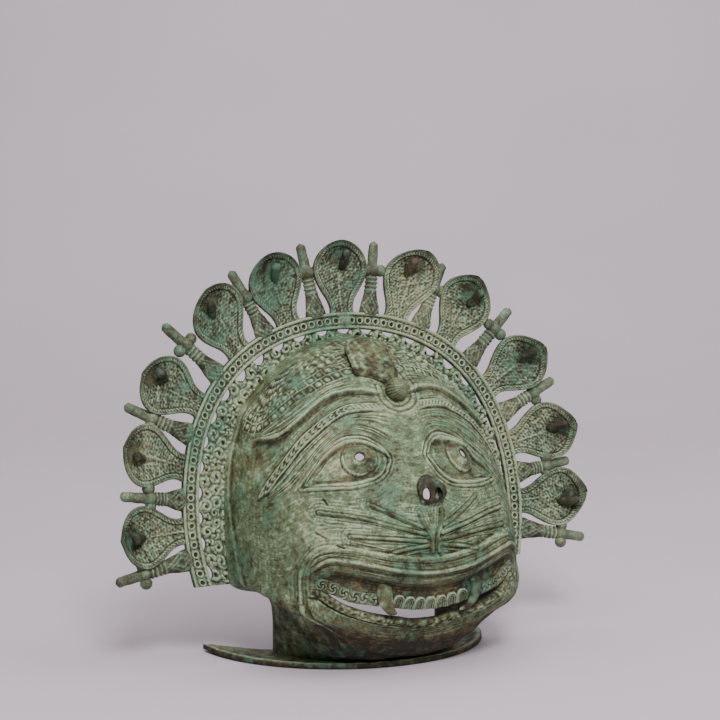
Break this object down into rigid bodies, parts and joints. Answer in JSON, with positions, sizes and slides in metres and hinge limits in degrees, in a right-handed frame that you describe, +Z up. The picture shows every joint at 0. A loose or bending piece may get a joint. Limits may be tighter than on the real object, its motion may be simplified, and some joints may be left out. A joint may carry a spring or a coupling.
{
  "type": "brass bhuta mask",
  "caption": "Hollow cast brass mask of a snarling cat spirit, framed by an arched halo of cobra hoods and knobbed finials, standing on its own half-round flange.",
  "frame": {"origin": "on the ground, under the middle of the mask's box", "axes": "+Z up, the face looks along -Y, +X to the right of someone who faces it"},
  "size_m": [0.426, 0.1688, 0.3256],
  "materials": {
    "patinated_brass": "cast brass under an old matt green patina, brown in the recesses and paler on the worn ridges"
  },
  "bodies": {
    "root": {"bhuta_mask": "patinated_brass"}
  },
  "joints": []
}
